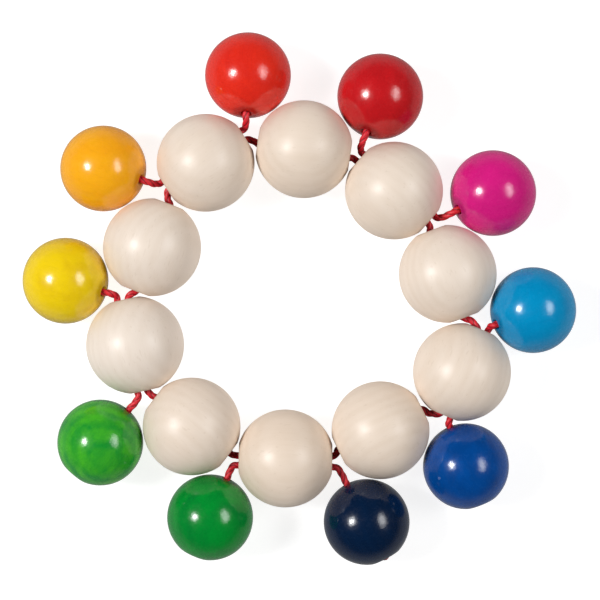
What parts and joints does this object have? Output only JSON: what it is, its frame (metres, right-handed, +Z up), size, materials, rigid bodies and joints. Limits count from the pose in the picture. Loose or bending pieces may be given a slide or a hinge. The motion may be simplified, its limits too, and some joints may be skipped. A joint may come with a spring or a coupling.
{
  "type": "baby rattle",
  "caption": "Grasping-ring rattle of pale wooden beads on a red cord, with smaller glossy rainbow beads hanging from it on short link cords.",
  "frame": {"origin": "middle of the whole object's footprint, on the surface it lies on", "axes": "+Z up out of the flat ring; +X along the ring's widest extent; +Y towards the orange-red and red beads"},
  "size_m": [0.1134, 0.1091, 0.02],
  "materials": {
    "natural": "pale close-grained wood under a clear satin lacquer",
    "cord": "red twisted polyester cord",
    "orange_red": "wood under glossy orange red lacquer",
    "red": "wood under glossy red lacquer",
    "magenta": "wood under glossy magenta lacquer",
    "light_blue": "wood under glossy light blue lacquer",
    "blue": "wood under glossy blue lacquer",
    "navy": "wood under glossy navy lacquer",
    "green": "wood under glossy green lacquer",
    "light_green": "wood under glossy light green lacquer",
    "yellow": "wood under glossy yellow lacquer",
    "orange": "wood under glossy orange lacquer"
  },
  "bodies": {
    "ring_a": {"ring_cord_a": "cord", "link_cord_01": "cord", "link_cord_03": "cord", "link_cord_05": "cord"},
    "ring_b": {"ring_cord_b": "cord", "link_cord_07": "cord", "link_cord_09": "cord"},
    "natural_01": {"natural_bead_01": "natural"},
    "natural_02": {"natural_bead_02": "natural"},
    "natural_03": {"natural_bead_03": "natural"},
    "natural_04": {"natural_bead_04": "natural"},
    "natural_05": {"natural_bead_05": "natural"},
    "natural_06": {"natural_bead_06": "natural"},
    "natural_07": {"natural_bead_07": "natural"},
    "natural_08": {"natural_bead_08": "natural"},
    "natural_09": {"natural_bead_09": "natural"},
    "natural_10": {"natural_bead_10": "natural"},
    "tail_orange_red": {"cord_tail_orange_red": "cord", "knot_orange_red": "cord"},
    "ball_orange_red": {"bead_orange_red": "orange_red"},
    "tail_red": {"cord_tail_red": "cord", "knot_red": "cord"},
    "ball_red": {"bead_red": "red"},
    "tail_magenta": {"cord_tail_magenta": "cord", "knot_magenta": "cord"},
    "ball_magenta": {"bead_magenta": "magenta"},
    "tail_light_blue": {"cord_tail_light_blue": "cord", "knot_light_blue": "cord"},
    "ball_light_blue": {"bead_light_blue": "light_blue"},
    "tail_blue": {"cord_tail_blue": "cord", "knot_blue": "cord"},
    "ball_blue": {"bead_blue": "blue"},
    "tail_navy": {"cord_tail_navy": "cord", "knot_navy": "cord"},
    "ball_navy": {"bead_navy": "navy"},
    "tail_green": {"cord_tail_green": "cord", "knot_green": "cord"},
    "ball_green": {"bead_green": "green"},
    "tail_light_green": {"cord_tail_light_green": "cord", "knot_light_green": "cord"},
    "ball_light_green": {"bead_light_green": "light_green"},
    "tail_yellow": {"cord_tail_yellow": "cord", "knot_yellow": "cord"},
    "ball_yellow": {"bead_yellow": "yellow"},
    "tail_orange": {"cord_tail_orange": "cord", "knot_orange": "cord"},
    "ball_orange": {"bead_orange": "orange"}
  },
  "joints": [
    {"name": "ring_fold", "type": "hinge", "parent": "ring_a", "child": "ring_b", "pos_m": [0.02676, -0.02351, 0.01], "axis": [-0.7728, 0.6347, 0], "range_deg": [-5, 16]},
    {"name": "spin_natural_01", "type": "hinge", "parent": "ring_a", "child": "natural_01", "pos_m": [-0.01917, 0.0278, 0.01], "axis": [0.84, 0.5426, 0], "continuous": true},
    {"name": "spin_natural_02", "type": "hinge", "parent": "ring_a", "child": "natural_02", "pos_m": [0.00094, 0.03058, 0.01], "axis": [0.9893, -0.1461, 0], "continuous": true},
    {"name": "spin_natural_03", "type": "hinge", "parent": "ring_a", "child": "natural_03", "pos_m": [0.01939, 0.02211, 0.01], "axis": [0.7555, -0.6552, 0], "continuous": true},
    {"name": "spin_natural_04", "type": "hinge", "parent": "ring_a", "child": "natural_04", "pos_m": [0.03039, 0.00505, 0.01], "axis": [0.3508, -0.9364, 0], "continuous": true},
    {"name": "spin_natural_05", "type": "hinge", "parent": "ring_a", "child": "natural_05", "pos_m": [0.03331, -0.01504, 0.01], "axis": [-0.3953, -0.9185, 0], "continuous": true},
    {"name": "spin_natural_06", "type": "hinge", "parent": "ring_b", "child": "natural_06", "pos_m": [0.01662, -0.02695, 0.01], "axis": [-0.8983, -0.4394, 0], "continuous": true},
    {"name": "spin_natural_07", "type": "hinge", "parent": "ring_b", "child": "natural_07", "pos_m": [-0.00284, -0.03273, 0.01], "axis": [-0.9998, 0.0198, 0], "continuous": true},
    {"name": "spin_natural_08", "type": "hinge", "parent": "ring_b", "child": "natural_08", "pos_m": [-0.02206, -0.02618, 0.01], "axis": [-0.7984, 0.6021, 0], "continuous": true},
    {"name": "spin_natural_09", "type": "hinge", "parent": "ring_b", "child": "natural_09", "pos_m": [-0.03363, -0.00951, 0.01], "axis": [-0.2155, 0.9765, 0], "continuous": true},
    {"name": "spin_natural_10", "type": "hinge", "parent": "ring_b", "child": "natural_10", "pos_m": [-0.03015, 0.01049, 0.01], "axis": [0.3615, 0.9324, 0], "continuous": true},
    {"name": "swing_orange_red", "type": "hinge", "parent": "ring_a", "child": "tail_orange_red", "pos_m": [-0.01177, 0.03442, 0.01], "axis": [0.9573, -0.289, 0], "range_deg": [-34, 44]},
    {"name": "spin_orange_red", "type": "hinge", "parent": "tail_orange_red", "child": "ball_orange_red", "pos_m": [-0.01053, 0.0458, 0.0088], "axis": [0.0414, 0.9263, -0.3746], "continuous": true},
    {"name": "swing_red", "type": "hinge", "parent": "ring_a", "child": "tail_red", "pos_m": [0.013, 0.0297, 0.01], "axis": [0.9973, -0.0731, 0], "range_deg": [-28, 38]},
    {"name": "spin_red", "type": "hinge", "parent": "tail_red", "child": "ball_red", "pos_m": [0.01659, 0.04147, 0.0088], "axis": [0.3307, 0.8662, -0.3746], "continuous": true},
    {"name": "swing_magenta", "type": "hinge", "parent": "ring_a", "child": "tail_magenta", "pos_m": [0.02781, 0.01686, 0.01], "axis": [0.2135, -0.9769, 0], "range_deg": [-42, 50]},
    {"name": "spin_magenta", "type": "hinge", "parent": "tail_magenta", "child": "ball_magenta", "pos_m": [0.03975, 0.02165, 0.0088], "axis": [0.8478, 0.4054, -0.342], "continuous": true},
    {"name": "swing_light_blue", "type": "hinge", "parent": "ring_a", "child": "tail_light_blue", "pos_m": [0.03861, -0.00665, 0.01], "axis": [0.5747, -0.8184, 0], "range_deg": [-20, 32]},
    {"name": "spin_light_blue", "type": "hinge", "parent": "tail_light_blue", "child": "ball_light_blue", "pos_m": [0.04795, -0.00237, 0.0088], "axis": [0.8926, 0.3431, -0.2924], "continuous": true},
    {"name": "swing_blue", "type": "hinge", "parent": "ring_a", "child": "tail_blue", "pos_m": [0.03086, -0.02466, 0.01], "axis": [-0.9873, -0.1589, 0], "range_deg": [-20, 30]},
    {"name": "spin_blue", "type": "hinge", "parent": "tail_blue", "child": "ball_blue", "pos_m": [0.03417, -0.03439, 0.0088], "axis": [0.3802, -0.9223, -0.0698], "continuous": true},
    {"name": "swing_navy", "type": "hinge", "parent": "ring_b", "child": "tail_navy", "pos_m": [0.00693, -0.03447, 0.01], "axis": [-0.7901, -0.613, 0], "range_deg": [-52, 60]},
    {"name": "spin_navy", "type": "hinge", "parent": "tail_navy", "child": "ball_navy", "pos_m": [0.0138, -0.0458, 0.0088], "axis": [0.4668, -0.8837, -0.0349], "continuous": true},
    {"name": "swing_green", "type": "hinge", "parent": "ring_b", "child": "tail_green", "pos_m": [-0.01267, -0.03408, 0.01], "axis": [-0.7652, 0.6438, 0], "range_deg": [-30, 40]},
    {"name": "spin_green", "type": "hinge", "parent": "tail_green", "child": "ball_green", "pos_m": [-0.0183, -0.04487, 0.0088], "axis": [-0.3991, -0.9109, -0.1045], "continuous": true},
    {"name": "swing_light_green", "type": "hinge", "parent": "ring_b", "child": "tail_light_green", "pos_m": [-0.03303, -0.01941, 0.01], "axis": [-0.8509, 0.5253, 0], "range_deg": [-50, 60]},
    {"name": "spin_light_green", "type": "hinge", "parent": "tail_light_green", "child": "ball_light_green", "pos_m": [-0.04083, -0.02952, 0.0088], "axis": [-0.652, -0.7532, -0.0872], "continuous": true},
    {"name": "swing_yellow", "type": "hinge", "parent": "ring_b", "child": "tail_yellow", "pos_m": [-0.03725, -0.00027, 0.01], "axis": [0.5508, 0.8346, 0], "range_deg": [-24, 36]},
    {"name": "spin_yellow", "type": "hinge", "parent": "tail_yellow", "child": "ball_yellow", "pos_m": [-0.04795, 0.00367, 0.0088], "axis": [-0.913, 0.2664, -0.309], "continuous": true},
    {"name": "swing_orange", "type": "hinge", "parent": "ring_a", "child": "tail_orange", "pos_m": [-0.02824, 0.02379, 0.01], "axis": [0.1424, 0.9898, 0], "range_deg": [-48, 24]},
    {"name": "spin_orange", "type": "hinge", "parent": "tail_orange", "child": "ball_orange", "pos_m": [-0.0402, 0.02669, 0.0088], "axis": [-0.9103, 0.2756, -0.309], "continuous": true}
  ]
}
